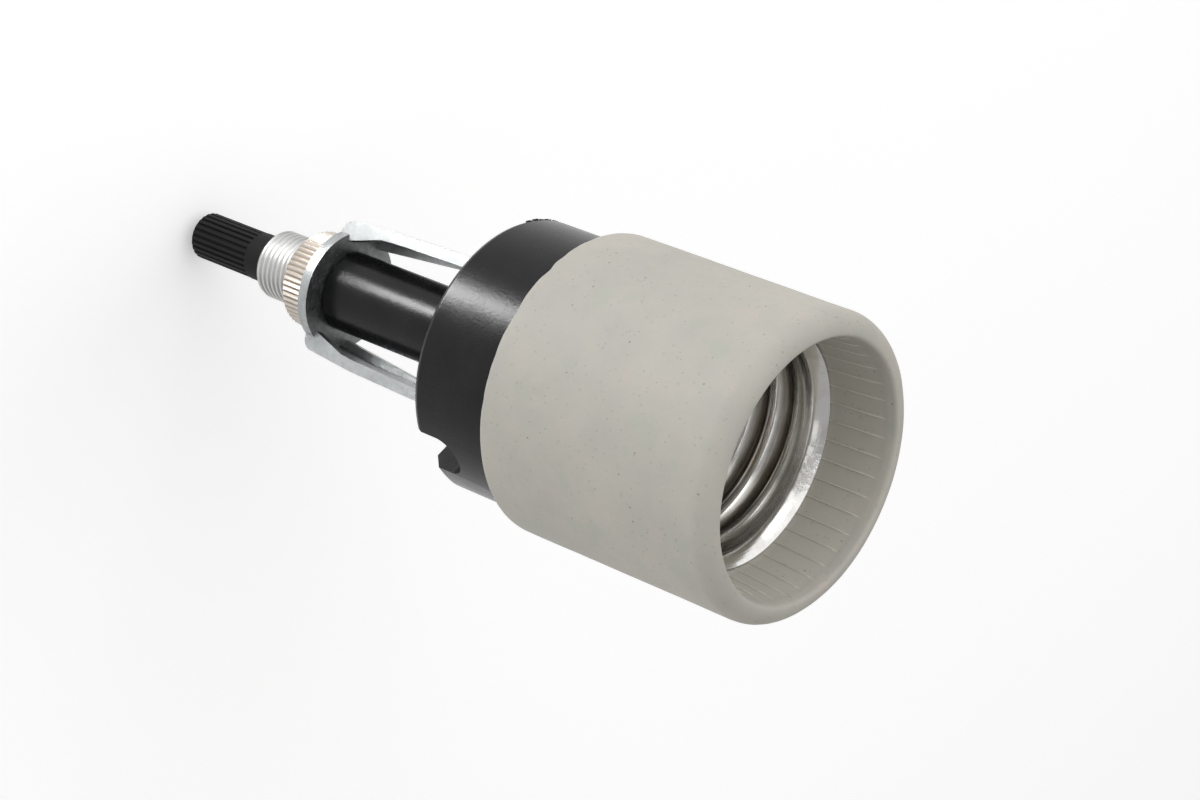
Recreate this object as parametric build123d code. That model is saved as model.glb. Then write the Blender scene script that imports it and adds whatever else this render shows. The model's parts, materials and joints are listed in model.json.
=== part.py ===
from build123d import *
import math
import os

# Lamp socket with a bottom rotary switch. Millimetres, +Z from the knob end to the bulb mouth.
# The origin is on the axis, at the lock nut's outer face, where the free end of the nipple begins.
# Pieces are drawn with their heights from the outer face of the bracket's base, then raised together.

# Clearances
SEAT_GAP = 0.05
RUNNING_GAP = 0.08
THREAD_GAP = 0.05
SWITCH_GAP = 0.15

# Bracket: one stamped sheet
SHEET = 1.4
LEG_HALF_WIDTH = 3.5
LEG_SPAN_SHARE = 0.559
LEG_KNEE_LEAN = 0.7
LEG_TOP_LEAN = 0.45
LEG_KNEE_Z = 8.5
BASE_INSET = 0.75
BASE_BEND_R = 0.2
FOOT_BEND_R = 0.6
KNEE_R = 24.0
FOOT_SCREW_ROOM = 3.4
FOOT_EDGE = 0.3
NEAR_FLANGE_SHARE = 0.63
NEAR_FLANGE_LENGTH = 5.2
FAR_FLANGE_SHARE = 0.53
FAR_FLANGE_LENGTH_SHARE = 0.69
FLANGE_THICK = 1.2

# Threaded nipple and lock nut
NIPPLE_R = 4.45
NIPPLE_REACH = 11.2
NIPPLE_CHAMFER = 0.45
THREAD_RELIEF_R = 4.1
THREAD_RELIEF_LONG = 0.7
STAKE_R = 4.3
STAKE_SHANK_R = 3.9
STAKE_THICK = 0.5
NUT_R = 6.25
NUT_LENGTH = 4.8
NUT_TOOTH_DEEP = 0.32
NUT_TEETH = 54
NUT_CHAMFER = 0.35

# Knob shaft
SHAFT_R = 3.1
SHAFT_REACH = 24.9
SPLINE_R = 3.05
SPLINE_ROOT_R = 2.72
SPLINE_LENGTH = 10.3
SPLINES = 24
TIP_CHAMFER = 0.45
KEY_SIZE = 4.2

# Switch housing: cup and neck
HOUSING_STEP = 1.75
HOUSING_REAR_Z = 29.0
HOUSING_LENGTH = 12.0
HOUSING_WALL = 2.6
REAR_WALL = 2.4
NECK_R = 5.05
HOUSING_EDGE_R = 0.9
NECK_EDGE = 0.4
SPIGOT_WALL = 1.5
SPIGOT_LENGTH = 1.8
BOSS_R = 2.3
NOTCH_WIDTH = 5.8
NOTCH_DEEP = 6.1
NOTCH_ANGLE = -37.0

# Switch works
WASHER_THICK = 0.5
RING_THICK = 0.6
RING_R = 5.0
RING_GROOVE_DEEP = 0.55
CAM_CORNER = 0.4
CAM_HEIGHT = 2.5
ROTOR_INSET = 0.9
ROTOR_HEIGHT = 4.6
WIPER_THICK = 0.5
WIPER_INSET = 0.4
WIPER_WEB = 0.6
SPRING_THICK = 0.4
SPRING_DEEP = 3.1
SPRING_WIDTH = 4.0
SPRING_HALF_LENGTH = 3.4
SPRING_BEND_R = 1.2
SPRING_BLOCK_MARGIN = 0.2
STRIP = 0.5
TERMINAL_ROOM = 3.4
TERMINAL_THICK = 0.8
TERMINAL_WIDTH = 6.4
TERMINAL_SCREW_HIGH = 2.6
TERMINAL_HEAD_R = 2.3
TERMINAL_HEAD_THICK = 1.3
TERMINAL_SHANK_R = 1.4
TERMINAL_SHANK_LENGTH = 2.2
TERMINAL_BLOCK_SHARE = 0.18
CONTACT_REACH_SHARE = 0.292
CONTACT_OUTER_SHARE = 0.479
CONTACT_HALF_WIDTH = 1.6
ARM_WIDTH = 2.6
DISC_THICK = 0.8
DISC_INSET = 0.2

# Porcelain body
BODY_R = 18.75
BODY_LENGTH = 34.0
BODY_REAR_R = 1.0
RIM_ROUND_SHARE = 0.96
RIM_INNER_DEEP = 2.0
RIM_INNER_WIDE = 0.75
MOUTH_WALL = 3.15
RECESS_TAPER = 0.55
LIP_DEEP = 8.8
LIP_SIDE_GAP = 0.35
FLOOR_THICK = 3.0
REAR_RECESS = 2.0
RIDGES = 40
RIDGE_WIDE = 0.34
RIDGE_HIGH = 0.22

# Screw shell: medium screw thread, 7 turns to the inch
THREAD_PITCH = 25.4 / 7
THREAD_DEEP = 0.95
THREAD_FADE = 0.6
STEPS_PER_TURN = 5
SHELL_SIDES = 32
SHELL_WALL = 0.35
LIP_OVERHANG = 1.05
LIP_BAND = 1.0
LIP_FLARE = 1.5
PAN_HIGH = 3.2
PAN_CORNER_R = 1.3
PAN_HOLE_SHARE = 0.494
SHELL_BORE_GAP = 0.35

# Fasteners and small contact parts
SCREW_R = 1.2
SCREW_HEAD_R = 2.2
SCREW_HEAD_THICK = 1.3
SCREW_HEAD_ROOM = 0.1
BRACKET_SCREW_GRIP = 5.6
RIVET_R = 1.2
RIVET_HEAD_R = 2.0
RIVET_HEAD_THICK = 0.6
RIVET_SHARE = 0.6
TONGUE_THICK = 0.4
TONGUE_HALF_WIDTH = 2.4
TONGUE_RISE = 3.6
TONGUE_TOP_HALF = 0.9
TONGUE_BEND_R = 0.7
INSULATOR_THICK = 0.5
INSULATOR_INSET = 0.3

# Levels that follow from the sizes above
BODY_REAR_Z = HOUSING_REAR_Z + HOUSING_LENGTH
BODY_MOUTH_Z = BODY_REAR_Z + BODY_LENGTH
BODY_FLOOR_LOW_Z = BODY_REAR_Z + REAR_RECESS
BODY_FLOOR_Z = BODY_FLOOR_LOW_Z + FLOOR_THICK
LIP_Z = BODY_MOUTH_Z - LIP_DEEP
CAVITY_FLOOR_Z = HOUSING_REAR_Z + REAR_WALL
HOUSING_R = BODY_R - HOUSING_STEP
CAVITY_R = HOUSING_R - HOUSING_WALL
DISC_LOW_Z = BODY_FLOOR_LOW_Z - DISC_THICK
SPIGOT_R = CAVITY_R + SPIGOT_WALL
RECESS_TOP_R = BODY_R - MOUTH_WALL
RECESS_BOTTOM_R = RECESS_TOP_R - RECESS_TAPER
LIP_R = RECESS_BOTTOM_R - LIP_SIDE_GAP
SHELL_R = LIP_R - LIP_OVERHANG
SHELL_BORE_R = SHELL_R + SHELL_BORE_GAP
THREAD_CREST_R = SHELL_R - SHELL_WALL - THREAD_DEEP
THREAD_MEAN_R = THREAD_CREST_R + THREAD_DEEP / 2
THREAD_TOP_Z = LIP_Z - LIP_FLARE - LIP_BAND
THREAD_LOW_Z = BODY_FLOOR_Z + PAN_HIGH
PAN_HOLE_R = THREAD_CREST_R * PAN_HOLE_SHARE
ASSEMBLY_SCREW_R = PAN_HOLE_R + SCREW_HEAD_R + SCREW_HEAD_ROOM
RIVET_AT_R = PAN_HOLE_R * RIVET_SHARE
NECK_BORE_R = SHAFT_R + RUNNING_GAP
RING_Z = CAVITY_FLOOR_Z + WASHER_THICK + 0.1
ROTOR_Z = RING_Z + RING_THICK + 0.4
WIPER_Z = ROTOR_Z + ROTOR_HEIGHT
CONTACT_Z = WIPER_Z + WIPER_THICK + SWITCH_GAP
ROTOR_R = PAN_HOLE_R - ROTOR_INSET
CAM_FLAT = ROTOR_R - CAM_CORNER
WIPER_HALF_LENGTH = PAN_HOLE_R - WIPER_INSET
WIPER_HALF_WIDTH = KEY_SIZE / math.sqrt(2) + WIPER_WEB
SPRING_BACK_X = CAM_FLAT + CAM_CORNER + SPRING_DEEP
TERMINAL_R = CAVITY_R - TERMINAL_ROOM
TERMINAL_SCREW_Z = CAVITY_FLOOR_Z + TERMINAL_SCREW_HIGH
CONTACT_REACH_R = CAVITY_R * CONTACT_REACH_SHARE
CONTACT_OUTER_R = CAVITY_R * CONTACT_OUTER_SHARE
LEG_TOP_X = HOUSING_R * LEG_SPAN_SHARE
LEG_KNEE_X = LEG_TOP_X - LEG_TOP_LEAN
LEG_ROOT_X = LEG_KNEE_X - LEG_KNEE_LEAN
LEG_NECK_GAP = LEG_ROOT_X - SHEET - NECK_R
BASE_R = LEG_ROOT_X - BASE_INSET
FOOT_SCREW_X = LEG_TOP_X + FOOT_SCREW_ROOM
FOOT_END_X = FOOT_SCREW_X + SCREW_HEAD_R + FOOT_EDGE
RIVET_ANGLE = NOTCH_ANGLE + 180
WIPER_ANGLE = NOTCH_ANGLE + 90
SPRING_ANGLE = -NOTCH_ANGLE


def arc(centre, reach, start, sweep, facets):
    """Points (radius, height) along an arc or ellipse, both ends included, for a profile."""
    points = []
    for step in range(facets + 1):
        angle = math.radians(start + sweep * step / facets)
        points.append((centre[0] + reach[0] * math.cos(angle), centre[1] + reach[1] * math.sin(angle)))
    return points


def turned(points, x=0.0, y=0.0):
    """Solid of revolution about an upright axis, from a closed profile of (radius, height) points."""
    face = make_face(Polyline(*points, close=True))
    return Pos(x, y, 0) * revolve(Plane.XZ * face, Axis.Z)


def disc(radius, low_z, high_z, x=0.0, y=0.0):
    """Upright cylinder between two heights."""
    return Pos(x, y, (low_z + high_z) / 2) * Cylinder(radius, high_z - low_z)


def block(x_range, y_range, z_range):
    """Box given by its extent along each axis."""
    size = [high - low for low, high in (x_range, y_range, z_range)]
    centre = [(high + low) / 2 for low, high in (x_range, y_range, z_range)]
    return Pos(*centre) * Box(*size)


def at_angle(degrees, shape):
    """Turn a shape made along +X to another bearing about Z."""
    return Rot(0, 0, degrees) * shape


def bent_strip(points, radii, thick, half_width):
    """Strip of sheet along a path in the XZ plane; its thickness lies to the left of the path."""
    path = FilletPolyline(*points, radius=radii)
    far_side = offset(path, thick, side=Side.LEFT, closed=True)
    face = make_face(far_side)
    return extrude(Plane.XZ * face, half_width, both=True)


def pan_screw(head_r, head_thick, shank_r, shank_length):
    """Screw with a round head above the XY plane and its shank below it."""
    return turned(
        [
            (0, -shank_length),
            (shank_r, -shank_length),
            (shank_r, 0),
            (head_r, 0),
            (head_r, head_thick),
            (0, head_thick),
        ]
    )


def toothed_face(count, tooth):
    """Flat star; tooth lists (radius, place) pairs, with the place as a share of one tooth's pitch."""
    points = []
    for number in range(count):
        for radius, place in tooth:
            angle = 2 * math.pi * (number + place) / count
            points.append((radius * math.cos(angle), radius * math.sin(angle)))
    return make_face(Polyline(*points, close=True))


def pointed_blank(sides, low_r, wide_r, low_z, top_z):
    """Many-sided bar, wider than wide_r, with a 45 degree chamfer down to low_r at its lower end."""
    high = wide_r - low_r + SEAT_GAP
    tip = extrude(Pos(0, 0, low_z) * RegularPolygon(low_r, sides), high, taper=-45)
    return tip + disc(wide_r + 1, low_z + high, top_z)


def bracket_leg():
    """One leg with its root strip, outward foot and the two stiffening flanges."""
    top_z = HOUSING_REAR_Z - SHEET
    strip = bent_strip(
        [(0, 0), (LEG_ROOT_X, 0), (LEG_KNEE_X, LEG_KNEE_Z), (LEG_TOP_X, top_z), (FOOT_END_X, top_z)],
        [BASE_BEND_R + SHEET, KNEE_R, FOOT_BEND_R],
        SHEET,
        LEG_HALF_WIDTH,
    )
    inner_x = LEG_ROOT_X - SHEET
    inner_knee_x = LEG_KNEE_X - SHEET
    lean = (LEG_KNEE_X - LEG_ROOT_X) / LEG_KNEE_Z
    near_top_z = SHEET + NEAR_FLANGE_LENGTH
    near = Polyline(
        (inner_x - NEAR_FLANGE_SHARE * LEG_NECK_GAP, SHEET / 2),
        (inner_x + SHEET / 2, SHEET / 2),
        (inner_x + SHEET / 2 + lean * near_top_z, near_top_z + 1),
        (inner_x + lean * near_top_z, near_top_z),
        close=True,
    )
    far_top_z = SHEET + FAR_FLANGE_LENGTH_SHARE * HOUSING_REAR_Z
    far = Polyline(
        (inner_x - FAR_FLANGE_SHARE * LEG_NECK_GAP, SHEET / 2),
        (inner_x + SHEET / 2, SHEET / 2),
        (inner_knee_x + SHEET / 2, LEG_KNEE_Z),
        (LEG_TOP_X - SHEET / 2, far_top_z + 1),
        (inner_knee_x + 0.25, far_top_z),
        close=True,
    )
    near_face = Plane.XZ.offset(LEG_HALF_WIDTH - FLANGE_THICK) * make_face(near)
    far_face = Plane.XZ.offset(-LEG_HALF_WIDTH) * make_face(far)
    leg = strip + extrude(near_face, FLANGE_THICK) + extrude(far_face, FLANGE_THICK)
    return leg - disc(SCREW_R + 3 * SEAT_GAP, top_z - 1, HOUSING_REAR_Z + 1, FOOT_SCREW_X)


def bracket():
    """Base disc and two legs folded from one sheet."""
    leg = bracket_leg()
    whole = disc(BASE_R, 0, SHEET) + leg + mirror(leg, about=Plane.YZ)
    return whole - disc(STAKE_SHANK_R + SEAT_GAP, -1, SHEET + 3)


def threaded_nipple():
    """Bushing that stands on the bracket's outer face and is staked over its inner face."""
    bore = NECK_BORE_R
    return turned(
        [
            (bore, -NIPPLE_REACH),
            (NIPPLE_R - NIPPLE_CHAMFER, -NIPPLE_REACH),
            (NIPPLE_R, NIPPLE_CHAMFER - NIPPLE_REACH),
            (NIPPLE_R, -NUT_LENGTH),
            (THREAD_RELIEF_R, -NUT_LENGTH),
            (THREAD_RELIEF_R, THREAD_RELIEF_LONG - NUT_LENGTH),
            (NIPPLE_R, THREAD_RELIEF_LONG - NUT_LENGTH),
            (NIPPLE_R, 0),
            (STAKE_SHANK_R, 0),
            (STAKE_SHANK_R, SHEET),
            (STAKE_R, SHEET),
            (STAKE_R, SHEET + STAKE_THICK),
            (bore, SHEET + STAKE_THICK),
        ]
    )


def lock_nut():
    """Round nut with a straight knurl, chamfered at the end that faces the knob."""
    root_r = NUT_R - NUT_TOOTH_DEEP
    tooth = ((root_r, -0.5), (NUT_R, 0))
    knurl = extrude(toothed_face(NUT_TEETH, tooth), -NUT_LENGTH)
    blank = pointed_blank(NUT_TEETH, root_r - NUT_CHAMFER, NUT_R, -NUT_LENGTH, 0)
    return (knurl & blank) - disc(NIPPLE_R + THREAD_GAP, -NUT_LENGTH - 1, 1)


def knob_shaft():
    """Moulded shaft: splined tip, plain journal, clip groove and square end for the rotor."""
    tip_z = -SHAFT_REACH
    spline_top_z = tip_z + SPLINE_LENGTH
    tooth = ((SPLINE_ROOT_R, -0.4), (SPLINE_R, -0.25), (SPLINE_R, 0.25), (SPLINE_ROOT_R, 0.4))
    splines = extrude(Pos(0, 0, tip_z) * toothed_face(SPLINES, tooth), SPLINE_LENGTH)
    splines &= pointed_blank(SPLINES, SPLINE_R - TIP_CHAMFER, SPLINE_R, tip_z, spline_top_z)
    groove_r = SHAFT_R - RING_GROOVE_DEEP
    groove_top_z = RING_Z + RING_THICK + SEAT_GAP
    journal = turned(
        [
            (0, spline_top_z),
            (SHAFT_R, spline_top_z),
            (SHAFT_R, RING_Z - SEAT_GAP),
            (groove_r, RING_Z - SEAT_GAP),
            (groove_r, groove_top_z),
            (SHAFT_R, groove_top_z),
            (SHAFT_R, ROTOR_Z),
            (0, ROTOR_Z),
        ]
    )
    key_top_z = WIPER_Z + WIPER_THICK
    half = KEY_SIZE / 2
    key = block((-half, half), (-half, half), (ROTOR_Z, key_top_z))
    return splines + journal + at_angle(SPRING_ANGLE, key)


def wire_notch():
    """Cutter for one round-bottomed notch in the housing's rear edge."""
    half = NOTCH_WIDTH / 2
    inner_x = TERMINAL_R + TERMINAL_THICK + SEAT_GAP
    floor_z = HOUSING_REAR_Z + NOTCH_DEEP
    low = block((inner_x, HOUSING_R + 1), (-half, half), (HOUSING_REAR_Z - 1, floor_z - half))
    reach = HOUSING_R + 1 - inner_x
    round_end = Pos(inner_x + reach / 2, 0, floor_z - half) * Rot(0, 90, 0) * Cylinder(half, reach)
    return low + round_end


def housing_cup():
    """Neck, cup and spigot as one moulding, before its inner details."""
    top_z = BODY_REAR_Z + SPIGOT_LENGTH
    stake_r = STAKE_R + SEAT_GAP
    stake_z = SHEET + STAKE_THICK + SEAT_GAP
    ease = HOUSING_EDGE_R
    edge = arc((HOUSING_R - ease, HOUSING_REAR_Z + ease), (ease, ease), -90, 90, 2)
    return turned(
        [
            (stake_r, SHEET),
            (NECK_R - NECK_EDGE, SHEET),
            (NECK_R, SHEET + NECK_EDGE),
            (NECK_R, HOUSING_REAR_Z),
            *edge,
            (HOUSING_R, BODY_REAR_Z),
            (SPIGOT_R, BODY_REAR_Z),
            (SPIGOT_R, top_z),
            (CAVITY_R, top_z),
            (CAVITY_R, CAVITY_FLOOR_Z),
            (NECK_BORE_R, CAVITY_FLOOR_Z),
            (NECK_BORE_R, stake_z),
            (stake_r, stake_z),
        ]
    )


def terminal_block(top_z):
    """Moulded block behind a terminal plate, bored for the end of its screw."""
    outer_x = TERMINAL_R - SEAT_GAP
    deep = CAVITY_R * TERMINAL_BLOCK_SHARE
    half = TERMINAL_WIDTH / 2
    body = block((outer_x - deep, outer_x), (-half, half), (CAVITY_FLOOR_Z, top_z))
    bore_r = TERMINAL_SHANK_R + 4 * SEAT_GAP
    bore = Pos(outer_x - deep / 2, 0, TERMINAL_SCREW_Z) * Rot(0, 90, 0) * Cylinder(bore_r, deep + 1)
    return body - bore


def spring_block():
    """Moulded block that backs the detent spring."""
    half = SPRING_HALF_LENGTH + SPRING_BLOCK_MARGIN
    top_z = CAVITY_FLOOR_Z + SPRING_WIDTH + SPRING_BLOCK_MARGIN
    return block((SPRING_BACK_X, CAVITY_R), (-half, half), (CAVITY_FLOOR_Z, top_z))


def switch_housing():
    """Black moulding that holds the switch works and carries the shaft in its neck."""
    shape = housing_cup()
    for side, lower in ((1, STRIP), (-1, 0)):
        boss_y = side * ASSEMBLY_SCREW_R
        shape += disc(BOSS_R, CAVITY_FLOOR_Z, DISC_LOW_Z - lower, 0, boss_y)
        shape -= disc(SCREW_R + SEAT_GAP, CAVITY_FLOOR_Z + 2, DISC_LOW_Z + 1, 0, boss_y)
    for side in (1, -1):
        foot_x = side * FOOT_SCREW_X
        hole_top_z = HOUSING_REAR_Z + BRACKET_SCREW_GRIP + SEAT_GAP
        post = disc(BOSS_R, CAVITY_FLOOR_Z, hole_top_z + 1, foot_x)
        shape += post & disc(CAVITY_R, CAVITY_FLOOR_Z, BODY_REAR_Z)
        shape -= disc(SCREW_R + SEAT_GAP, HOUSING_REAR_Z - 1, hole_top_z, foot_x)
    shape += at_angle(NOTCH_ANGLE, terminal_block(CONTACT_Z))
    shape += at_angle(RIVET_ANGLE, terminal_block(CONTACT_Z - 2))
    shape += at_angle(SPRING_ANGLE, spring_block()) & disc(CAVITY_R, CAVITY_FLOOR_Z, BODY_REAR_Z)
    for angle in (NOTCH_ANGLE, RIVET_ANGLE):
        shape -= at_angle(angle, wire_notch())
    return shape


def friction_washer():
    """Thin washer between the clip and the housing's floor."""
    ring = disc(RING_R, CAVITY_FLOOR_Z, CAVITY_FLOOR_Z + WASHER_THICK)
    return ring - disc(NECK_BORE_R, CAVITY_FLOOR_Z - 1, RING_Z)


def shaft_retaining_ring():
    """Open clip that snaps into the shaft's groove."""
    inner_r = SHAFT_R - RING_GROOVE_DEEP + SEAT_GAP
    ring = disc(RING_R - 0.2, RING_Z, RING_Z + RING_THICK)
    ring -= disc(inner_r, RING_Z - 1, RING_Z + RING_THICK + 1)
    mouth = block((0, RING_R), (-inner_r * 0.8, inner_r * 0.8), (RING_Z - 1, RING_Z + RING_THICK + 1))
    return ring - mouth


def switch_rotor():
    """Moulded rotor: four-flat cam below, round table above, square hole on the shaft."""
    flat = CAM_FLAT
    cam_top_z = ROTOR_Z + CAM_HEIGHT
    cam = disc(flat + CAM_CORNER, ROTOR_Z, cam_top_z)
    cam &= block((-flat, flat), (-flat, flat), (ROTOR_Z, cam_top_z))
    table = disc(ROTOR_R, cam_top_z, WIPER_Z)
    half = KEY_SIZE / 2 + SEAT_GAP
    hole = block((-half, half), (-half, half), (ROTOR_Z - 1, WIPER_Z + 1))
    return at_angle(SPRING_ANGLE, cam + table - hole)


def contact_wiper():
    """Brass bridge on the rotor, with a raised contact at each end."""
    top_z = WIPER_Z + WIPER_THICK
    length, width = WIPER_HALF_LENGTH, WIPER_HALF_WIDTH
    plate = block((-length, length), (-width, width), (WIPER_Z, top_z)) & disc(length, WIPER_Z, top_z)
    half = KEY_SIZE / 2 + SEAT_GAP
    hole = block((-half, half), (-half, half), (WIPER_Z - 1, top_z + 1))
    return at_angle(WIPER_ANGLE, plate) - at_angle(SPRING_ANGLE, hole)


def detent_spring():
    """Bowed strip that stands on the housing's floor and bears on the rotor's flat."""
    near_x = CAM_FLAT + CAM_CORNER + SWITCH_GAP
    far_x = SPRING_BACK_X - SEAT_GAP
    half = SPRING_HALF_LENGTH
    path = FilletPolyline(
        (far_x, -half), (near_x, -half / 2), (near_x, half / 2), (far_x, half), radius=SPRING_BEND_R
    )
    face = make_face(offset(path, SPRING_THICK, side=Side.RIGHT, closed=True))
    strip = extrude(Pos(0, 0, CAVITY_FLOOR_Z) * face, SPRING_WIDTH)
    inside = block((near_x, far_x), (-2 * half, 2 * half), (CAVITY_FLOOR_Z, CAVITY_FLOOR_Z + SPRING_WIDTH))
    return at_angle(SPRING_ANGLE, strip & inside)


def terminal_plate(top_z):
    """Upright brass plate with the hole for its wire screw."""
    half = TERMINAL_WIDTH / 2
    outer_x = TERMINAL_R + TERMINAL_THICK
    plate = block((TERMINAL_R, outer_x), (-half, half), (CAVITY_FLOOR_Z, top_z))
    hole = Rot(0, 90, 0) * Cylinder(TERMINAL_SHANK_R + SEAT_GAP, 4 * TERMINAL_THICK)
    return plate - Pos(TERMINAL_R, 0, TERMINAL_SCREW_Z) * hole


def line_terminal():
    """Line side: plate at the notch, with an arm over the block that ends above the wiper."""
    top_z = CONTACT_Z + STRIP
    arm = block(
        (CONTACT_REACH_R, TERMINAL_R), (-CONTACT_HALF_WIDTH, CONTACT_HALF_WIDTH), (CONTACT_Z, top_z)
    )
    return at_angle(NOTCH_ANGLE, terminal_plate(top_z) + arm)


def neutral_terminal():
    """Neutral side: plate at the other notch, with an arm clamped on the boss by an assembly screw."""
    arm_low_z = DISC_LOW_Z - STRIP
    plate = at_angle(RIVET_ANGLE, terminal_plate(DISC_LOW_Z))
    start = Vector(TERMINAL_R + TERMINAL_THICK / 2, 0).rotate(Axis.Z, RIVET_ANGLE)
    reach = Vector(0, ASSEMBLY_SCREW_R) - start
    middle = start + reach * 0.5
    bearing = math.degrees(math.atan2(reach.Y, reach.X))
    flat = Rot(0, 0, bearing) * Rectangle(reach.length, ARM_WIDTH)
    arm = extrude(Pos(middle.X, middle.Y, arm_low_z) * flat, STRIP)
    eye = disc(BOSS_R, arm_low_z, DISC_LOW_Z, 0, ASSEMBLY_SCREW_R)
    hole = disc(SCREW_R + 2 * SEAT_GAP, arm_low_z - 1, DISC_LOW_Z + 1, 0, ASSEMBLY_SCREW_R)
    return plate + arm + eye - hole


def terminal_screws():
    """The two wire-binding screws, heads towards their notches."""
    place = Pos(TERMINAL_R + TERMINAL_THICK, 0, TERMINAL_SCREW_Z) * Rot(0, 90, 0)
    screws = []
    for angle in (NOTCH_ANGLE, RIVET_ANGLE):
        screw = pan_screw(TERMINAL_HEAD_R, TERMINAL_HEAD_THICK, TERMINAL_SHANK_R, TERMINAL_SHANK_LENGTH)
        screws.append(at_angle(angle, place * screw))
    return screws


def lamp_contact():
    """Switched side: strip under the porcelain floor, folded down to a finger above the wiper."""
    top_z = DISC_LOW_Z
    outer_x = CONTACT_OUTER_R
    y_range = (-CONTACT_HALF_WIDTH, CONTACT_HALF_WIDTH)
    upper = block((RIVET_AT_R - RIVET_HEAD_R, outer_x), y_range, (top_z - STRIP, top_z))
    web = block((outer_x - STRIP, outer_x), y_range, (CONTACT_Z, top_z))
    finger = block((CONTACT_REACH_R, outer_x), y_range, (CONTACT_Z, CONTACT_Z + STRIP))
    hole = disc(RIVET_R + SEAT_GAP, top_z - 1, top_z + 1, RIVET_AT_R)
    return at_angle(RIVET_ANGLE, upper + web + finger - hole)


def insulating_disc():
    """Fibre disc that closes the switch cavity under the porcelain floor."""
    plate = disc(CAVITY_R - DISC_INSET, DISC_LOW_Z, BODY_FLOOR_LOW_Z)
    for side in (1, -1):
        plate -= disc(SCREW_R + 4 * SEAT_GAP, DISC_LOW_Z - 1, BODY_FLOOR_Z, 0, side * ASSEMBLY_SCREW_R)
    return plate - at_angle(RIVET_ANGLE, disc(RIVET_R + SEAT_GAP, DISC_LOW_Z - 1, BODY_FLOOR_Z, RIVET_AT_R))


def recess_ridges():
    """Thin raised lines on the wall of the mouth recess."""
    top_z = BODY_MOUTH_Z - RIM_INNER_DEEP
    low_z = LIP_Z + RIDGE_HIGH
    section = Polyline(
        (RECESS_BOTTOM_R - RIDGE_HIGH, low_z),
        (RECESS_BOTTOM_R + MOUTH_WALL / 2, low_z),
        (RECESS_TOP_R + MOUTH_WALL / 2, top_z - 3 * RIDGE_HIGH),
        (RECESS_TOP_R - RIDGE_HIGH, top_z - 3 * RIDGE_HIGH),
        close=True,
    )
    ridge = extrude(Plane.XZ * make_face(section), RIDGE_WIDE / 2, both=True)
    step = 360 / RIDGES
    return [at_angle((place + 0.5) * step, ridge) for place in range(RIDGES)]


def porcelain_body():
    """Pressed porcelain: ribbed mouth, bore for the shell, floor and rear recess."""
    rim_r = RECESS_TOP_R + RIM_INNER_WIDE
    rim_z = BODY_MOUTH_Z - RIM_INNER_DEEP
    round_r = (BODY_R - rim_r) * RIM_ROUND_SHARE
    rear_r = BODY_REAR_R
    recess_r = SPIGOT_R + 2 * SEAT_GAP
    shape = turned(
        [
            (0, BODY_FLOOR_LOW_Z),
            (recess_r, BODY_FLOOR_LOW_Z),
            (recess_r, BODY_REAR_Z),
            *arc((BODY_R - rear_r, BODY_REAR_Z + rear_r), (rear_r, rear_r), -90, 90, 1),
            *arc((BODY_R - round_r, BODY_MOUTH_Z - round_r), (round_r, round_r), 0, 90, 3),
            *arc((rim_r, rim_z), (RIM_INNER_WIDE, RIM_INNER_DEEP), 90, 90, 2),
            (RECESS_BOTTOM_R, LIP_Z - SHELL_WALL),
            (SHELL_BORE_R, LIP_Z - LIP_FLARE - SHELL_WALL),
            (SHELL_BORE_R, BODY_FLOOR_Z),
            (0, BODY_FLOOR_Z),
        ]
    )
    shape += recess_ridges()
    for side in (1, -1):
        shape -= disc(SCREW_R + 6 * SEAT_GAP, BODY_REAR_Z, BODY_FLOOR_Z + 1, 0, side * ASSEMBLY_SCREW_R)
    hole = disc(RIVET_R + 2 * SEAT_GAP, BODY_REAR_Z, BODY_FLOOR_Z + 1, RIVET_AT_R)
    return shape - at_angle(RIVET_ANGLE, hole)


def shell_section(radius, level, shift=0.0, bearing=0.0):
    """One level of the shell, as a many-sided face whose centre may stand off the axis."""
    place = Pos(shift * math.cos(bearing), shift * math.sin(bearing), level)
    return (place * RegularPolygon(radius, SHELL_SIDES)).face()


def thread_sections(radius):
    """Faces up the rolled thread: the section's centre circles the axis as it climbs."""
    turns = (THREAD_TOP_Z - THREAD_LOW_Z) / THREAD_PITCH
    steps = round(turns * STEPS_PER_TURN)
    sections = []
    for step in range(steps + 1):
        turn = turns * step / steps
        fade = min(1.0, turn / THREAD_FADE, (turns - turn) / THREAD_FADE)
        shift = THREAD_DEEP / 2 * math.sin(fade * math.pi / 2) ** 2
        sections.append(shell_section(radius, THREAD_LOW_Z + turn * THREAD_PITCH, shift, 2 * math.pi * turn))
    return sections


def shell_cone(low, top):
    """Tapered piece of the shell's core between two (radius, height) points."""
    high = top[1] - low[1]
    out = (top[0] - low[0]) * math.cos(math.pi / SHELL_SIDES)
    return extrude(shell_section(*low), high, dir=(0, 0, 1), taper=-math.degrees(math.atan2(out, high)))


def shell_core(radius, pan_z, corner_r, band_top_z, edge):
    """Solid within one face of the shell: pan corner, thread, plain band and flare."""
    corner = arc((radius - corner_r, pan_z + corner_r), (corner_r, corner_r), -90, 90, 2)
    band = [shell_section(radius, band_top_z)]
    barrel = loft([shell_section(*corner[1]), *thread_sections(radius), *band], ruled=True)
    return shell_cone(corner[0], corner[1]) + barrel + shell_cone((radius, band_top_z), edge)


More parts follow.
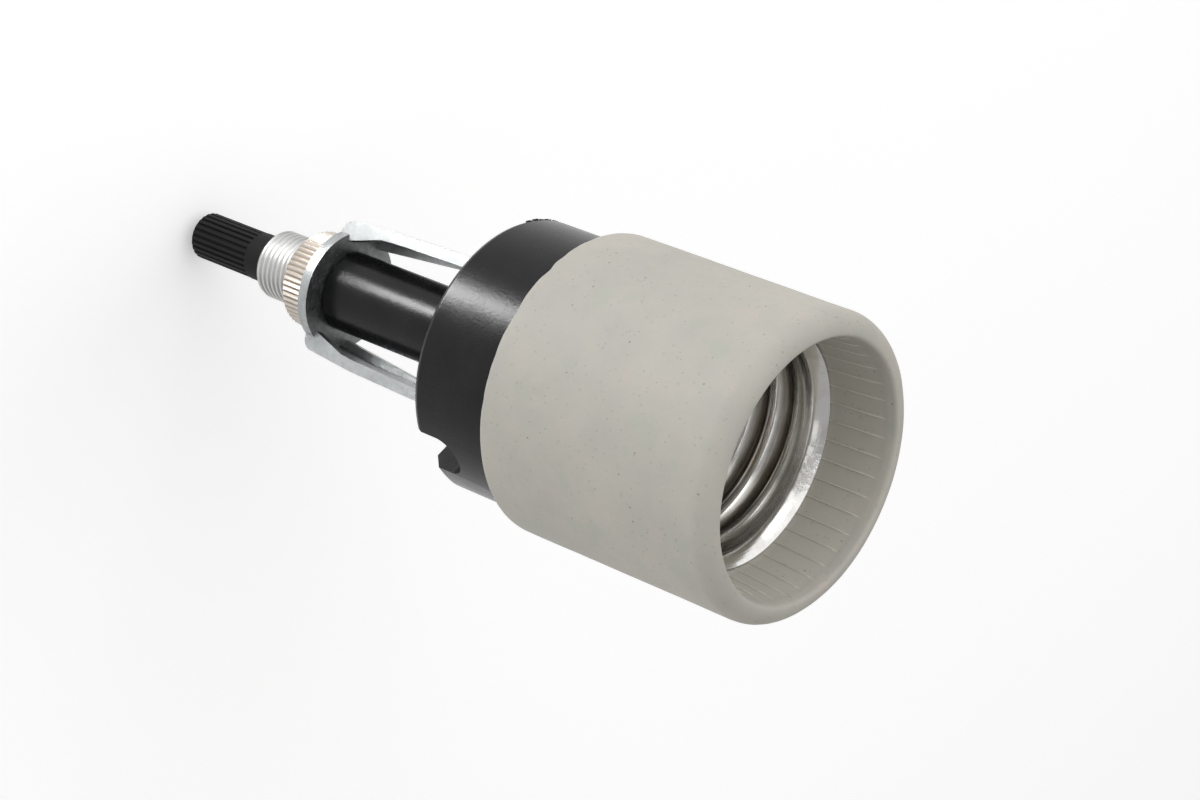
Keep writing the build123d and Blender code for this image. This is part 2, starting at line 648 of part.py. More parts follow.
def screw_shell():
    """Rolled shell: flat pan, helical thread, plain band and flared lip, all of one thickness."""
    inner_r = THREAD_MEAN_R
    outer_r = inner_r + SHELL_WALL
    outer_band_z = LIP_Z - LIP_FLARE - SHELL_WALL / 2
    inner_band_z = outer_band_z + SHELL_WALL
    outer_edge = (LIP_R, LIP_Z - SHELL_WALL)
    inner_edge = (LIP_R - SHELL_WALL / 2, LIP_Z)
    shape = shell_core(outer_r, BODY_FLOOR_Z, PAN_CORNER_R, outer_band_z, outer_edge)
    shape += extrude(shell_section(*outer_edge), SHELL_WALL, dir=(0, 0, 1))
    pan_top_z = BODY_FLOOR_Z + SHELL_WALL
    shape -= shell_core(inner_r, pan_top_z, PAN_CORNER_R - SHELL_WALL, inner_band_z, inner_edge)
    shape -= disc(PAN_HOLE_R, BODY_FLOOR_Z - 1, BODY_FLOOR_Z + 1)
    for side in (1, -1):
        shape -= disc(SCREW_R + 2 * SEAT_GAP, BODY_FLOOR_Z - 1, BODY_FLOOR_Z + 1, 0, side * ASSEMBLY_SCREW_R)
    return shape


def center_contact():
    """Sprung brass tongue that rises to the bulb's tip."""
    base_z = BODY_FLOOR_Z + INSULATOR_THICK
    top_z = base_z + TONGUE_RISE
    rise_x = RIVET_AT_R - RIVET_HEAD_R - TONGUE_BEND_R / 2
    tongue = bent_strip(
        [
            (-TONGUE_TOP_HALF - TONGUE_RISE / 2, base_z + TONGUE_RISE * 0.65),
            (-2 * TONGUE_TOP_HALF, top_z),
            (0, top_z),
            (rise_x, base_z),
            (RIVET_AT_R + RIVET_R + TONGUE_THICK, base_z),
        ],
        TONGUE_BEND_R,
        TONGUE_THICK,
        TONGUE_HALF_WIDTH,
    )
    hole = disc(RIVET_R + SEAT_GAP, base_z - 1, base_z + 1, RIVET_AT_R)
    return at_angle(RIVET_ANGLE, tongue - hole)


def contact_insulator():
    """Fibre washer under the tongue, inside the shell's pan."""
    plate = disc(PAN_HOLE_R - INSULATOR_INSET, BODY_FLOOR_Z, BODY_FLOOR_Z + INSULATOR_THICK)
    hole = disc(RIVET_R + SEAT_GAP, BODY_FLOOR_Z - 1, BODY_MOUTH_Z, RIVET_AT_R)
    return plate - at_angle(RIVET_ANGLE, hole)


def center_contact_rivet():
    """Rivet through tongue, insulator, floor, disc and lamp contact."""
    top_z = BODY_FLOOR_Z + INSULATOR_THICK + TONGUE_THICK
    low_z = DISC_LOW_Z - STRIP
    clench_r = (RIVET_R + RIVET_HEAD_R) / 2
    profile = [
        (0, low_z - RIVET_HEAD_THICK),
        (clench_r, low_z - RIVET_HEAD_THICK),
        (clench_r, low_z),
        (RIVET_R, low_z),
        (RIVET_R, top_z),
        (RIVET_HEAD_R, top_z),
        (RIVET_HEAD_R, top_z + RIVET_HEAD_THICK),
        (0, top_z + RIVET_HEAD_THICK),
    ]
    return at_angle(RIVET_ANGLE, turned(profile, RIVET_AT_R))


def assembly_screws():
    """Two screws through pan, floor and disc into the housing's bosses."""
    head_z = BODY_FLOOR_Z + SHELL_WALL
    screws = []
    for side in (1, -1):
        screw = pan_screw(SCREW_HEAD_R, SCREW_HEAD_THICK, SCREW_R, head_z - CAVITY_FLOOR_Z - 3)
        screws.append(Pos(0, side * ASSEMBLY_SCREW_R, head_z) * screw)
    return screws


def bracket_screws():
    """Two screws through the bracket's feet into the housing."""
    foot_z = HOUSING_REAR_Z - SHEET
    screws = []
    for side in (1, -1):
        screw = pan_screw(SCREW_HEAD_R, SCREW_HEAD_THICK, SCREW_R, SHEET + BRACKET_SCREW_GRIP)
        screws.append(Pos(side * FOOT_SCREW_X, 0, foot_z) * Rot(180, 0, 0) * screw)
    return screws


PIECES = (
    bracket,
    threaded_nipple,
    lock_nut,
    knob_shaft,
    switch_housing,
    friction_washer,
    shaft_retaining_ring,
    switch_rotor,
    contact_wiper,
    detent_spring,
    line_terminal,
    neutral_terminal,
    terminal_screws,
    lamp_contact,
    insulating_disc,
    porcelain_body,
    screw_shell,
    center_contact,
    contact_insulator,
    center_contact_rivet,
    assembly_screws,
    bracket_screws,
)


def main():
    """Build every piece and write one file for each."""
    os.makedirs("parts", exist_ok=True)
    for piece in PIECES:
        shape = piece()
        if isinstance(shape, list):
            shape = Compound([solid for part in shape for solid in part.solids()])
        export_step(Pos(0, 0, NUT_LENGTH) * shape, f"parts/{piece.__name__}.step")


main()
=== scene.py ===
"""Looks of a porcelain lamp socket with a turn switch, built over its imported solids."""

import json
import logging
import math
from dataclasses import dataclass
from enum import Enum
from typing import Iterable, Optional, Sequence, Union

import bmesh
import bpy
from mathutils import Matrix, Vector, noise

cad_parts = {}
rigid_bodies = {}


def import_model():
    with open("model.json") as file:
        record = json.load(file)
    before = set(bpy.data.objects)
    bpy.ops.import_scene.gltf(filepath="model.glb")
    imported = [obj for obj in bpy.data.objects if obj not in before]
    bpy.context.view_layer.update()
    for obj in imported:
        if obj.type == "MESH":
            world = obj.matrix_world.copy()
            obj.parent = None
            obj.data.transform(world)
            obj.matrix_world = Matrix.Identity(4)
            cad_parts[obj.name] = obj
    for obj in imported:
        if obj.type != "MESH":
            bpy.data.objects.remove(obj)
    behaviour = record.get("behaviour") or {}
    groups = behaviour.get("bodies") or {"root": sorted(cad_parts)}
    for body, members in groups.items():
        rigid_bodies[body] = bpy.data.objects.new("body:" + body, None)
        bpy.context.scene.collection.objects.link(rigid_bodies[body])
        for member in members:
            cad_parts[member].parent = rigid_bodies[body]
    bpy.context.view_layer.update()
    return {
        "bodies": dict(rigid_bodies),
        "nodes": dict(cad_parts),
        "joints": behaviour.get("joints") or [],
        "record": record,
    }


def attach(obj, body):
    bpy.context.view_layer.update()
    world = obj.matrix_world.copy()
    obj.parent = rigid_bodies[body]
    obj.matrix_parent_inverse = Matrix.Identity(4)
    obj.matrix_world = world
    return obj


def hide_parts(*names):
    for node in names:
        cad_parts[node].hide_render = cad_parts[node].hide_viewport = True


LOG = logging.getLogger("lamp_socket")
MM = 0.001
MERGE = 1e-7
EASE_STEPS = 2
EVEN = (1, 1, 1)
MOUTH_RIDGES = 40
MIX_FACTOR, MIX_FIRST, MIX_SECOND, MIX_RESULT = 0, 6, 7, 2
Point = tuple[float, float]


class Body(Enum):
    """The rigid bodies that a piece can ride on."""

    SOCKET = "socket"
    SHAFT = "switch_shaft"
    NUT = "lock_nut"


class Slot(Enum):
    """The material slots of the record."""

    PORCELAIN = "porcelain"
    SHELL = "shell_metal"
    MOULDING = "black_moulding"
    ZINC = "zinc_sheet"
    NICKEL = "nickel"
    STEEL = "steel"
    BRASS = "brass"
    FIBRE = "fibre"


# Shader nodes


class Signal:
    """A shader socket that takes part in Python arithmetic."""

    def __init__(self, kit: "NodeKit", socket: bpy.types.NodeSocket) -> None:
        """Wrap a socket.

        Args:
            kit: the material's node maker.
            socket: the output socket to read.
        """
        self.kit = kit
        self.socket = socket

    def __add__(self, other: "Value") -> "Signal":
        """Sum of two values."""
        return self.kit.maths("ADD", self, other)

    __radd__ = __add__

    def __sub__(self, other: "Value") -> "Signal":
        """Difference of two values."""
        return self.kit.maths("SUBTRACT", self, other)

    def __rsub__(self, other: "Value") -> "Signal":
        """Difference with the number first."""
        return self.kit.maths("SUBTRACT", other, self)

    def __mul__(self, other: "Value") -> "Signal":
        """Product of two values."""
        return self.kit.maths("MULTIPLY", self, other)

    __rmul__ = __mul__

    def __pow__(self, other: "Value") -> "Signal":
        """Power of a value."""
        return self.kit.maths("POWER", self, other)

    def beside(self, output: str) -> "Signal":
        """Another output of the same node."""
        return Signal(self.kit, self.socket.node.outputs[output])

    def above(self, edge: float, soft: float) -> "Signal":
        """Smooth step from 0 to 1.

        Args:
            edge: middle of the step.
            soft: half its width.

        Returns:
            The step as a value from 0 to 1.
        """
        return self.kit.node(
            "ShaderNodeMapRange",
            {"interpolation_type": "SMOOTHSTEP"},
            {"Value": self, "From Min": edge - soft, "From Max": edge + soft},
            "Result",
        )


Value = Union[Signal, int, float]


class NodeKit:
    """Makes the nodes of one material."""

    def __init__(self, name: str) -> None:
        """Start an empty material.

        Args:
            name: the material's name.
        """
        self.material = bpy.data.materials.new(name)
        self.material.use_nodes = True
        self.tree = self.material.node_tree
        self.tree.nodes.clear()
        output = self.tree.nodes.new("ShaderNodeOutputMaterial")
        self.shader = self.tree.nodes.new("ShaderNodeBsdfPrincipled")
        self.tree.links.new(self.shader.outputs["BSDF"], output.inputs["Surface"])

    def node(
        self,
        kind: str,
        settings: Optional[dict] = None,
        inputs: Optional[dict] = None,
        output: Union[str, int] = 0,
    ) -> Signal:
        """Make any node.

        Args:
            kind: the node's type.
            settings: its properties, or "stops" as (place, colour) pairs of a ramp.
            inputs: values or links of its sockets, by name or number.
            output: the socket to hand back.

        Returns:
            The chosen output.
        """
        made = self.tree.nodes.new(kind)
        for key, value in (settings or {}).items():
            if key == "stops":
                self._fill_ramp(made.color_ramp, value)
            else:
                setattr(made, key, value)
        for key, value in (inputs or {}).items():
            self.feed(made.inputs[key], value)
        return Signal(self, made.outputs[output])

    @staticmethod
    def _fill_ramp(ramp: bpy.types.ColorRamp, stops: Sequence[tuple]) -> None:
        """Set a ramp's stops.

        Args:
            ramp: the ramp to change.
            stops: (place, colour) pairs.
        """
        while len(ramp.elements) < len(stops):
            ramp.elements.new(0.5)
        for element, (place, colour) in zip(ramp.elements, stops):
            element.position = place
            element.color = (*colour, 1.0)

    def feed(self, socket: bpy.types.NodeSocket, value: object) -> None:
        """Set or link one input socket.

        Args:
            socket: the input.
            value: a signal, a number, a colour or a vector.
        """
        if isinstance(value, Signal):
            self.tree.links.new(value.socket, socket)
        elif isinstance(value, (tuple, list, Vector)) and socket.type == "RGBA":
            socket.default_value = (*value[:3], 1.0)
        else:
            socket.default_value = value

    def maths(self, operation: str, first: Value, second: Value) -> Signal:
        """Make a Math node.

        Args:
            operation: what it does.
            first: its first value.
            second: its second value.

        Returns:
            The result.
        """
        return self.node("ShaderNodeMath", {"operation": operation}, {0: first, 1: second})

    def place(self, stretch: tuple[float, float, float] = EVEN) -> Signal:
        """Object coordinates.

        Args:
            stretch: scale of the pattern along each axis.

        Returns:
            The coordinates.
        """
        here = self.node("ShaderNodeTexCoord", output="Object")
        if stretch == EVEN:
            return here
        return self.node("ShaderNodeMapping", {}, {"Vector": here, "Scale": Vector(stretch)})

    def grain(
        self, scale: float, detail: float = 3.0, rough: float = 0.55, at: Optional[Signal] = None
    ) -> Signal:
        """Noise from 0 to 1.

        Args:
            scale: cells to the metre.
            detail: octaves.
            rough: share of the finer octaves.
            at: coordinates, or None for the object's own.

        Returns:
            The noise.
        """
        inputs = {"Vector": at or self.place(), "Scale": scale, "Detail": detail, "Roughness": rough}
        return self.node("ShaderNodeTexNoise", {"normalize": True}, inputs, "Fac")

    def cells(self, scale: float) -> tuple[Signal, Signal]:
        """Scattered cells.

        Args:
            scale: cells to the metre.

        Returns:
            Distance from the nearest cell's point, in cells, and a value of the cell from 0 to 1.
        """
        inputs = {"Vector": self.place(), "Scale": scale, "Randomness": 1.0}
        away = self.node("ShaderNodeTexVoronoi", {}, inputs, "Distance")
        return away, self.node("ShaderNodeSeparateColor", {}, {"Color": away.beside("Color")}, "Red")

    def dots(self, scale: float, size: float, share: float) -> Signal:
        """Scattered round specks.

        Args:
            scale: cells to the metre.
            size: speck radius as a share of a cell.
            share: how many of the cells hold one.

        Returns:
            A mask from 0 to 1.
        """
        away, value = self.cells(scale)
        return (1 - away.above(size, size * 0.4)) * value.above(1 - share, 0.01)

    def axes(self) -> tuple[Signal, Signal, Signal]:
        """The object's X, Y and Z in millimetres."""
        first = self.node("ShaderNodeSeparateXYZ", {}, {"Vector": self.place()}, "X")
        return tuple(part * (1 / MM) for part in (first, first.beside("Y"), first.beside("Z")))

    def polar(self) -> tuple[Signal, Signal, Signal]:
        """Cylinder coordinates about Z.

        Returns:
            Radius in millimetres, bearing as a share of a turn and height in millimetres.
        """
        across, deep, height = self.axes()
        radius = (across * across + deep * deep) ** 0.5
        return radius, self.maths("ARCTAN2", deep, across) * (0.5 / math.pi), height

    def between(self, value: Signal, low: float, high: float, soft: float) -> Signal:
        """Band mask.

        Args:
            value: what is tested.
            low: lower edge.
            high: upper edge.
            soft: half width of each edge.

        Returns:
            1 inside the band and 0 outside.
        """
        return value.above(low, soft) * (1 - value.above(high, soft))

    def blend(self, factor: Value, first: object, second: object) -> Signal:
        """Mix two colours.

        Args:
            factor: share of the second.
            first: colour at 0.
            second: colour at 1.

        Returns:
            The mixed colour.
        """
        inputs = {MIX_FACTOR: factor, MIX_FIRST: first, MIX_SECOND: second}
        return self.node("ShaderNodeMix", {"data_type": "RGBA"}, inputs, MIX_RESULT)

    def bump(self, height: Signal, depth: float, strength: float, after: Optional[Signal] = None) -> Signal:
        """Bump from a height.

        Args:
            height: from 0 to 1.
            depth: height of 1, in metres.
            strength: share that is applied.
            after: an earlier bump to add to.

        Returns:
            The normal.
        """
        inputs = {"Height": height, "Distance": depth, "Strength": strength}
        if after is not None:
            inputs["Normal"] = after
        return self.node("ShaderNodeBump", {}, inputs, "Normal")

    def finish(self, **sockets: object) -> bpy.types.Material:
        """Feed the surface shader.

        Args:
            **sockets: socket names with underscores for spaces, and their values.

        Returns:
            The material.
        """
        for key, value in sockets.items():
            self.feed(self.shader.inputs[key.replace("_", " ")], value)
        return self.material


# Finishes


@dataclass(frozen=True)
class PorcelainFinish:
    """Unglazed pressed porcelain: matte grey stone with fine grain, specks and faint clouds, with painted
    light on the mouth recess wall and painted highlights along its ridges.
    """

    body: tuple = (0.475, 0.459, 0.412)
    warm: tuple = (0.512, 0.484, 0.428)
    cool: tuple = (0.438, 0.43, 0.39)
    green: tuple = (0.42, 0.447, 0.378)
    pink: tuple = (0.53, 0.465, 0.418)
    dark_speck: tuple = (0.13, 0.12, 0.105)
    grey_speck: tuple = (0.34, 0.32, 0.28)
    brown_speck: tuple = (0.38, 0.26, 0.17)
    # painted light: the lighter tone laid over the mouth recess wall
    recess: tuple = (0.53, 0.508, 0.447)
    # painted highlight along the crests of the recess ridges
    painted_ridge_highlight: tuple = (0.74, 0.7, 0.62)
    recess_r: float = 15.72
    recess_low_z: float = 68.0
    recess_top_z: float = 78.2
    specks: tuple = (
        (700, 0.09, 0.2, 0.6, dark_speck),
        (1500, 0.12, 0.12, 0.5, dark_speck),
        (1100, 0.2, 0.3, 0.32, grey_speck),
        (520, 0.08, 0.3, 0.5, brown_speck),
        (1300, 0.14, 0.12, 0.45, brown_speck),
    )

    def speckled(self, kit: NodeKit, colour: Signal) -> Signal:
        """Add the specks.

        Args:
            kit: the material's node maker.
            colour: the clouded body.

        Returns:
            The speckled colour.
        """
        for scale, size, share, strength, speck in self.specks:
            colour = kit.blend(kit.dots(scale, size, share) * strength, colour, speck)
        return colour

    def paint_recess_light_and_ridge_highlights(self, kit: NodeKit, colour: Signal) -> Signal:
        """Paint light onto the wall of the mouth recess, lifting it to a lighter tone, and paint highlights
        along its ridges.

        Args:
            kit: the material's node maker.
            colour: the clouded body.

        Returns:
            The colour with the painted recess light and the painted ridge highlights.
        """
        radius, bearing, height = kit.polar()
        wall = 1 - radius.above(self.recess_r, 0.12)
        wall = wall * kit.between(height, self.recess_low_z, self.recess_top_z, 0.5)
        place = kit.maths("FRACT", bearing * MOUTH_RIDGES, 0)
        crest = kit.between(place, 0.472, 0.528, 0.016)
        # painted light: lifts the recess wall towards a lighter tone
        colour = kit.blend(wall * 0.85, colour, self.recess)
        # painted highlight: light lines along the ridge crests
        return kit.blend(wall * crest * 0.9, colour, self.painted_ridge_highlight)

    def material(self) -> bpy.types.Material:
        """Build the material.

        Returns:
            The clouded, speckled porcelain.
        """
        kit = NodeKit("porcelain_matte")
        cloud = kit.grain(85, 4, 0.62)
        fine = kit.grain(1900, 3, 0.65)
        tint = kit.grain(230, 3, 0.6)
        colour = kit.blend(cloud.above(0.5, 0.2), self.cool, self.warm)
        colour = kit.blend(fine.above(0.5, 0.22) * 0.45, colour, self.body)
        colour = kit.blend(tint.above(0.63, 0.07) * 0.4, colour, self.pink)
        colour = kit.blend((1 - tint.above(0.38, 0.07)) * 0.45, colour, self.green)
        # painted light on the recess wall and painted highlights on its ridges, then the specks
        colour = self.speckled(kit, self.paint_recess_light_and_ridge_highlights(kit, colour))
        first = kit.bump(kit.grain(300, 4, 0.62), 0.00012, 0.55)
        second = kit.bump(fine, 0.00005, 0.6, first)
        third = kit.bump(1 - kit.dots(620, 0.13, 0.14), 0.00004, 0.6, second)
        return kit.finish(
            Base_Color=colour,
            Roughness=0.62 + fine * 0.2,
            Normal=third,
            Specular_IOR_Level=0.3,
        )


@dataclass(frozen=True)
class ShellFinish:
    """Bright rolled sheet with drawing lines round the axis, painted shade in the thread roots and a
    scuffed lip.
    """

    base: tuple = (0.8, 0.79, 0.77)
    worn: tuple = (0.56, 0.54, 0.51)
    # painted shade: dark colour laid into the thread roots
    root: tuple = (0.2, 0.177, 0.147)
    root_r: float = 12.78
    thread_top_z: float = 68.4
    lip_r: float = 13.5
    lip_z: float = 69.6
    mark_from: float = 0.215
    mark_to: float = 0.285

    def material(self) -> bpy.types.Material:
        """Build the material.

        Returns:
            The bright shell metal.
        """
        kit = NodeKit("bright_rolled_shell")
        lines = kit.grain(60, 4, 0.65, kit.place((1, 1, 70)))
        smear = kit.grain(260, 4, 0.65)
        radius, bearing, height = kit.polar()
        # mask of the thread roots, where shade is painted and the metal is rougher
        root = radius.above(self.root_r, 0.26) * (1 - height.above(self.thread_top_z, 0.3))
        lip = radius.above(self.lip_r, 0.2) * height.above(self.lip_z, 0.2)
        where = kit.between(bearing, self.mark_from, self.mark_to, 0.01)
        marks = where * kit.grain(700, 4, 0.75, kit.place((1, 1, 0.6))).above(0.52, 0.05)
        scuff = kit.grain(120, 5, 0.7, kit.place((1, 1, 14))).above(0.62, 0.05)
        colour = kit.blend(smear.above(0.55, 0.14) * 0.45, self.base, self.worn)
        # painted shade: darkens the thread roots
        colour = kit.blend(root * (0.66 + smear * 0.3), colour, self.root)
        colour = kit.blend(lip * marks * 0.5, colour, self.worn)
        rough = 0.08 + lines * 0.14 + scuff * 0.12 + root * 0.14 + lip * marks * 0.2
        first = kit.bump(lines, 0.00003, 0.45)
        return kit.finish(
            Base_Color=colour,
            Metallic=1.0,
            Roughness=rough,
            Normal=kit.bump(lip * marks, 0.00004, 0.5, first),
        )


@dataclass(frozen=True)
class MouldingFinish:
    """Black thermoset moulding: satin, with a fine sparkling grain, flow marks and light dust."""

    name: str = "black_moulding_satin"
    base: tuple = (0.005, 0.005, 0.0058)
    dust: tuple = (0.03, 0.03, 0.032)
    rough: float = 0.17
    gloss: float = 0.2

    def material(self) -> bpy.types.Material:
        """Build the material.

        Returns:
            The black moulding.
        """
        kit = NodeKit(self.name)
        cloud = kit.grain(170, 4, 0.6)
        fine = kit.grain(3200, 2, 0.6)
        scratch = kit.grain(620, 3, 0.7, kit.place((1, 1, 0.12))).above(0.7, 0.03)
        colour = kit.blend(cloud.above(0.58, 0.2) * 0.2, self.base, self.dust)
        colour = kit.blend(kit.dots(900, 0.1, 0.06) * 0.6, colour, self.dust)
        height = kit.bump(cloud, 0.00006, 0.5)
        return kit.finish(
            Base_Color=colour,
            Roughness=self.rough + cloud * 0.12 + scratch * 0.12 + fine * 0.06,
            Normal=kit.bump(fine, 0.000022, 0.7, height),
            Specular_IOR_Level=self.gloss,
        )


@dataclass(frozen=True)
class PlatedFinish:
    """Plated or plain metal with a rolling grain, sparkling crystals and stains."""

    name: str
    base: tuple
    stain: tuple
    rough: float
    stretch: tuple = (1, 1, 0.08)
    grain_scale: float = 900
    stain_edge: float = 0.6
    crystal: float = 0.0

    def ground(self, kit: NodeKit) -> tuple[Signal, Signal, Signal]:
        """Colour, roughness and normal before any local wear.

        Args:
            kit: the material's node maker.

        Returns:
            The three signals.
        """
        lines = kit.grain(self.grain_scale, 3, 0.65, kit.place(self.stretch))
        cloud = kit.grain(240, 4, 0.65)
        mottle = kit.grain(1500, 3, 0.6)
        _, cell = kit.cells(2600)
        colour = kit.blend(cloud.above(self.stain_edge, 0.14) * 0.5, self.base, self.stain)
        colour = kit.blend(mottle.above(0.55, 0.15) * (0.2 + 0.3 * self.crystal), colour, self.stain)
        rough = self.rough + lines * 0.12 + cloud * 0.1 + cell * (0.16 * self.crystal)
        first = kit.bump(lines, 0.00002, 0.5)
        second = kit.bump(cell, 0.000012, self.crystal, first)
        return colour, rough, kit.bump(mottle, 0.000015, 0.5, second)

    def material(self) -> bpy.types.Material:
        """Build the material.

        Returns:
            The metal.
        """
        kit = NodeKit(self.name)
        colour, rough, normal = self.ground(kit)
        return kit.finish(Base_Color=colour, Metallic=1.0, Roughness=rough, Normal=normal)


@dataclass(frozen=True)
class GroovedFinish(PlatedFinish):
    """Plated metal with painted shade in its grooves, told from the crests by their radius."""

    # painted shade: dark colour laid into the grooves
    groove_shade: tuple = (0.3, 0.26, 0.22)
    groove_r: float = 6.05
    groove_soft: float = 0.1
    groove_share: float = 0.8

    def material(self) -> bpy.types.Material:
        """Build the material.

        Returns:
            The metal with painted shade in its grooves.
        """
        kit = NodeKit(self.name)
        colour, rough, normal = self.ground(kit)
        radius, _, _ = kit.polar()
        # painted shade: darkens the grooves below the crest radius
        groove_shade_mask = (1 - radius.above(self.groove_r, self.groove_soft)) * self.groove_share
        return kit.finish(
            Base_Color=kit.blend(groove_shade_mask, colour, self.groove_shade),
            Metallic=1.0,
            Roughness=rough + groove_shade_mask * 0.2,
            Normal=normal,
        )


@dataclass(frozen=True)
class FibreFinish:
    """Pressed fibre board, brown and matte."""

    base: tuple = (0.2, 0.1, 0.05)
    light: tuple = (0.32, 0.19, 0.1)

    def material(self) -> bpy.types.Material:
        """Build the material.

        Returns:
            The fibre board.
        """
        kit = NodeKit("pressed_fibre")
        strands = kit.grain(900, 5, 0.7, kit.place((1, 0.3, 1)))
        return kit.finish(
            Base_Color=kit.blend(strands, self.base, self.light),
            Roughness=0.75 + strands * 0.1,
            Normal=kit.bump(strands, 0.00003, 0.6),
        )


class Finish(Enum):
    """The finishes of the object's pieces."""

    PORCELAIN = "porcelain"
    SHELL = "shell"
    MOULDING = "moulding"
    SPLINE = "spline"
    ZINC = "zinc"
    NUT = "nut"
    NIPPLE = "nipple"
    STEEL = "steel"
    BRASS = "brass"
    FIBRE = "fibre"


class Finishes:
    """Every finish of the object, made once."""

    def __init__(self) -> None:
        """Build the materials."""
        # painted shade for the nut's knurl grooves
        warm_groove_shade = (0.3, 0.25, 0.205)
        makers = {
            Finish.PORCELAIN: PorcelainFinish(),
            Finish.SHELL: ShellFinish(),
            Finish.MOULDING: MouldingFinish(),
            # painted light: a lighter copy of the black moulding for the splined shaft, lifting the shade
            # in its grooves
            Finish.SPLINE: MouldingFinish(
                "black_moulding_lightened_spline", (0.019, 0.019, 0.0195), (0.035, 0.035, 0.035), 0.45, 0.08
            ),
            Finish.ZINC: PlatedFinish(
                "zinc_plated_sheet", (0.41, 0.424, 0.424), (0.29, 0.305, 0.308),
                0.22, (1, 1, 0.2), 700, 0.55, 1.0,
            ),
            Finish.NUT: GroovedFinish(
                "bright_nickel_knurl", (0.57, 0.531, 0.484), (0.43, 0.387, 0.344),
                0.2, (1, 1, 0.3), groove_shade=warm_groove_shade,
            ),
            # painted shade in the nipple's thread roots
            Finish.NIPPLE: GroovedFinish(
                "plated_nipple_thread", (0.62, 0.62, 0.61), (0.46, 0.46, 0.45),
                0.26, (1, 1, 6), groove_shade=(0.34, 0.34, 0.33), groove_r=4.32, groove_share=0.45,
            ),
            Finish.STEEL: PlatedFinish("plain_steel", (0.6, 0.6, 0.6), (0.4, 0.38, 0.36), 0.3, EVEN),
            Finish.BRASS: PlatedFinish("plain_brass", (0.83, 0.68, 0.4), (0.6, 0.43, 0.2), 0.25, EVEN),
            Finish.FIBRE: FibreFinish(),
        }
        self.made = {key: maker.material() for key, maker in makers.items()}

    def __getitem__(self, finish: Finish) -> bpy.types.Material:
        """The material of a finish."""
        return self.made[finish]


# Mesh tools


def arc(centre: Point, reach: Point, start: float, sweep: float, steps: int) -> list[Point]:
    """Points along an arc or ellipse in the profile plane.

    Args:
        centre: (radius, height) of its centre.
        reach: half axes.
        start: first angle in degrees.
        sweep: turn in degrees.
        steps: how many chords.

    Returns:
        The points, both ends included.
    """
    points = []
    for step in range(steps + 1):
        angle = math.radians(start + sweep * step / steps)
        points.append((centre[0] + reach[0] * math.cos(angle), centre[1] + reach[1] * math.sin(angle)))
    return points


def line(first: Point, last: Point, steps: int) -> list[Point]:
    """Evenly spaced points from first to last, both included.

    Args:
        first: start.
        last: end.
        steps: how many chords.

    Returns:
        The points.
    """
    return [
        (first[0] + (last[0] - first[0]) * n / steps, first[1] + (last[1] - first[1]) * n / steps)
        for n in range(steps + 1)
    ]


def spun(profile: Iterable[Point], steps: int) -> bmesh.types.BMesh:
    """Spin a closed profile of (radius, height) in millimetres about Z.

    Args:
        profile: the points, in order; the last joins the first.
        steps: steps of the full turn.

    Returns:
        The spun mesh, in metres.
    """
    bm = bmesh.new()
    verts = [bm.verts.new((radius * MM, 0, height * MM)) for radius, height in profile]
    edges = [bm.edges.new(pair) for pair in zip(verts, verts[1:] + verts[:1])]
    bmesh.ops.spin(
        bm,
        geom=verts + edges,
        cent=(0, 0, 0),
        axis=(0, 0, 1),
        angle=2 * math.pi,
        steps=steps,
        use_merge=True,
    )
    bmesh.ops.remove_doubles(bm, verts=bm.verts[:], dist=MERGE)
    bmesh.ops.dissolve_degenerate(bm, edges=bm.edges[:], dist=MERGE)
    bmesh.ops.recalc_face_normals(bm, faces=bm.faces[:])
    return bm


def ease_edges(bm: bmesh.types.BMesh, width: float, least_angle: float) -> None:
    """Round every sharp edge.

    Args:
        bm: the mesh.
        width: width of the rounding in millimetres.
        least_angle: turn in degrees from which an edge counts.
    """
    limit = math.radians(least_angle)
    sharp = [edge for edge in bm.edges if len(edge.link_faces) == 2 and edge.calc_face_angle(0) > limit]
    bmesh.ops.bevel(
        bm,
        geom=sharp,
        offset=width * MM,
        offset_type="OFFSET",
        segments=EASE_STEPS,
        profile=0.5,
        affect="EDGES",
        clamp_overlap=True,
        material=-1,
    )


def to_object(
    bm: bmesh.types.BMesh, name: str, material: bpy.types.Material, crease: float = 50
) -> bpy.types.Object:
    """Turn a bmesh into an object of the scene.

    Args:
        bm: the mesh, which is freed.
        name: the piece's name.
        material: its finish.
        crease: angle in degrees from which an edge looks sharp.

    Returns:
        The object.
    """
    mesh = bpy.data.meshes.new(name)
    bm.to_mesh(mesh)
    bm.free()
    mesh.materials.append(material)
    mesh.shade_smooth()
    mesh.set_sharp_from_angle(angle=math.radians(crease))
    piece = bpy.data.objects.new(name, mesh)
    bpy.context.scene.collection.objects.link(piece)
    return piece


def settle_normals(piece: bpy.types.Object) -> None:
    """Let the large faces of an eased piece lead its shading.

    Args:
        piece: the object.
    """
    lead = piece.modifiers.new("FaceWeights", "WEIGHTED_NORMAL")
    lead.mode = "FACE_AREA"
    lead.weight = 60
    lead.keep_sharp = True


